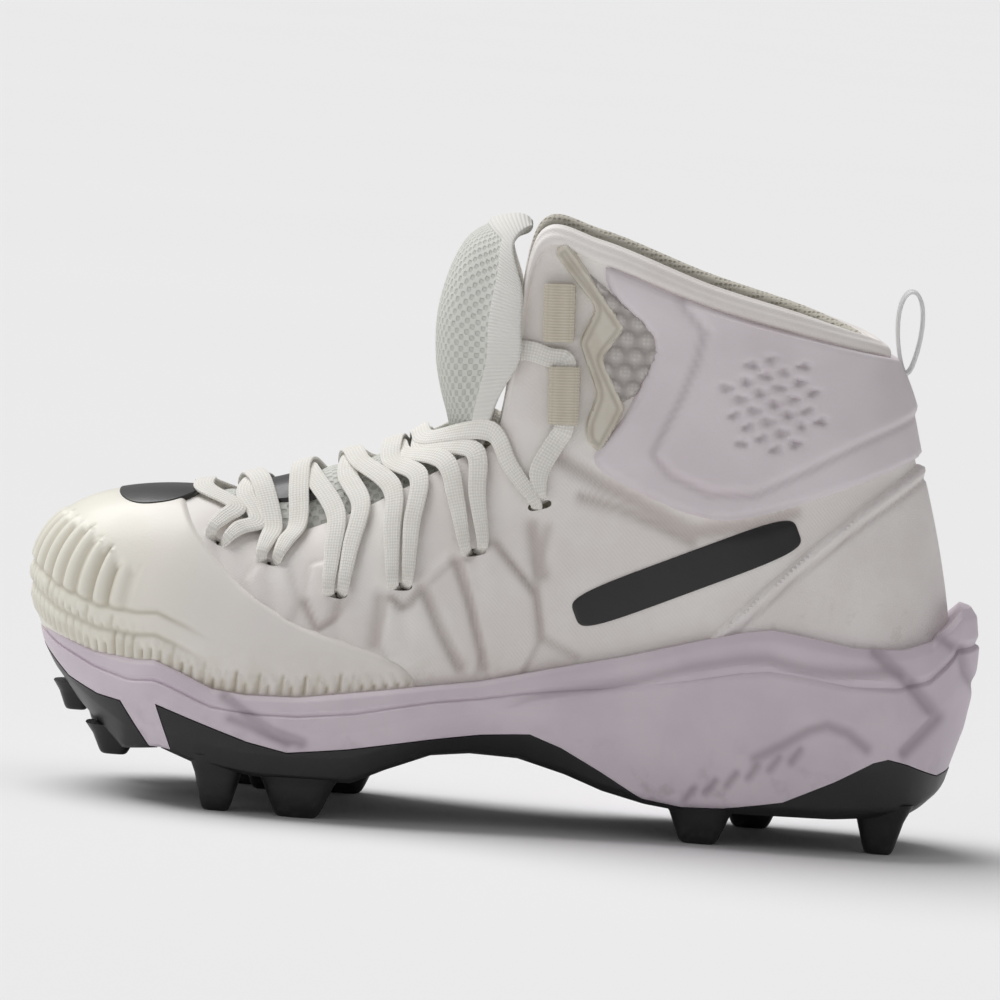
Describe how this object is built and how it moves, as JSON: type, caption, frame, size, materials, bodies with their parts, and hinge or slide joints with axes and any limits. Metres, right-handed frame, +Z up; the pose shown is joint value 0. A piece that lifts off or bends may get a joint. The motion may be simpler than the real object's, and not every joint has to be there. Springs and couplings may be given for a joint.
{
  "type": "american football cleat",
  "caption": "High-cut left american football cleat: moulded stud plate, flared foam midsole, hollow laced upper with padded tongue, ankle cuff and ribbed toe guard.",
  "frame": {"origin": "middle of the shoe's box in plan, on the plane that the studs stand on", "axes": "+X from the toe to the heel, +Y from the lateral side to the medial side, +Z up"},
  "size_m": [0.2994, 0.111, 0.1873],
  "materials": {
    "ankle_film": "satin dimpled film",
    "counter_moulding": "satin moulded",
    "cuff_moulding": "satin moulded",
    "eyestay_film": "satin moulded film",
    "insole_foam": "matte",
    "lace_cord": "matte braid",
    "loop_tape": "matte webbing",
    "midsole_foam": "matte moulded foam",
    "plate": "satin",
    "pull_tape": "matte webbing",
    "toe_film": "satin ribbed film",
    "tongue_mesh": "matte mesh",
    "upper_shell": "matte coated knit"
  },
  "bodies": {
    "root": {"ankle_cuff": "cuff_moulding", "ankle_film_lateral": "ankle_film", "ankle_film_medial": "ankle_film", "eyestay_lateral": "eyestay_film", "eyestay_medial": "eyestay_film", "heel_counter": "counter_moulding", "insole": "insole_foam", "lace_ankle": "lace_cord", "lace_bar": "lace_cord", "lace_crossing_1": "lace_cord", "lace_crossing_2": "lace_cord", "lace_crossing_3": "lace_cord", "lace_crossing_4": "lace_cord", "lace_crossing_5": "lace_cord", "midsole": "midsole_foam", "outsole": "plate", "pull_loop": "pull_tape", "tape_loop_lateral_1": "loop_tape", "tape_loop_lateral_2": "loop_tape", "tape_loop_medial_1": "loop_tape", "tape_loop_medial_2": "loop_tape", "toe_guard": "toe_film", "tongue": "tongue_mesh", "upper": "upper_shell"}
  },
  "joints": []
}
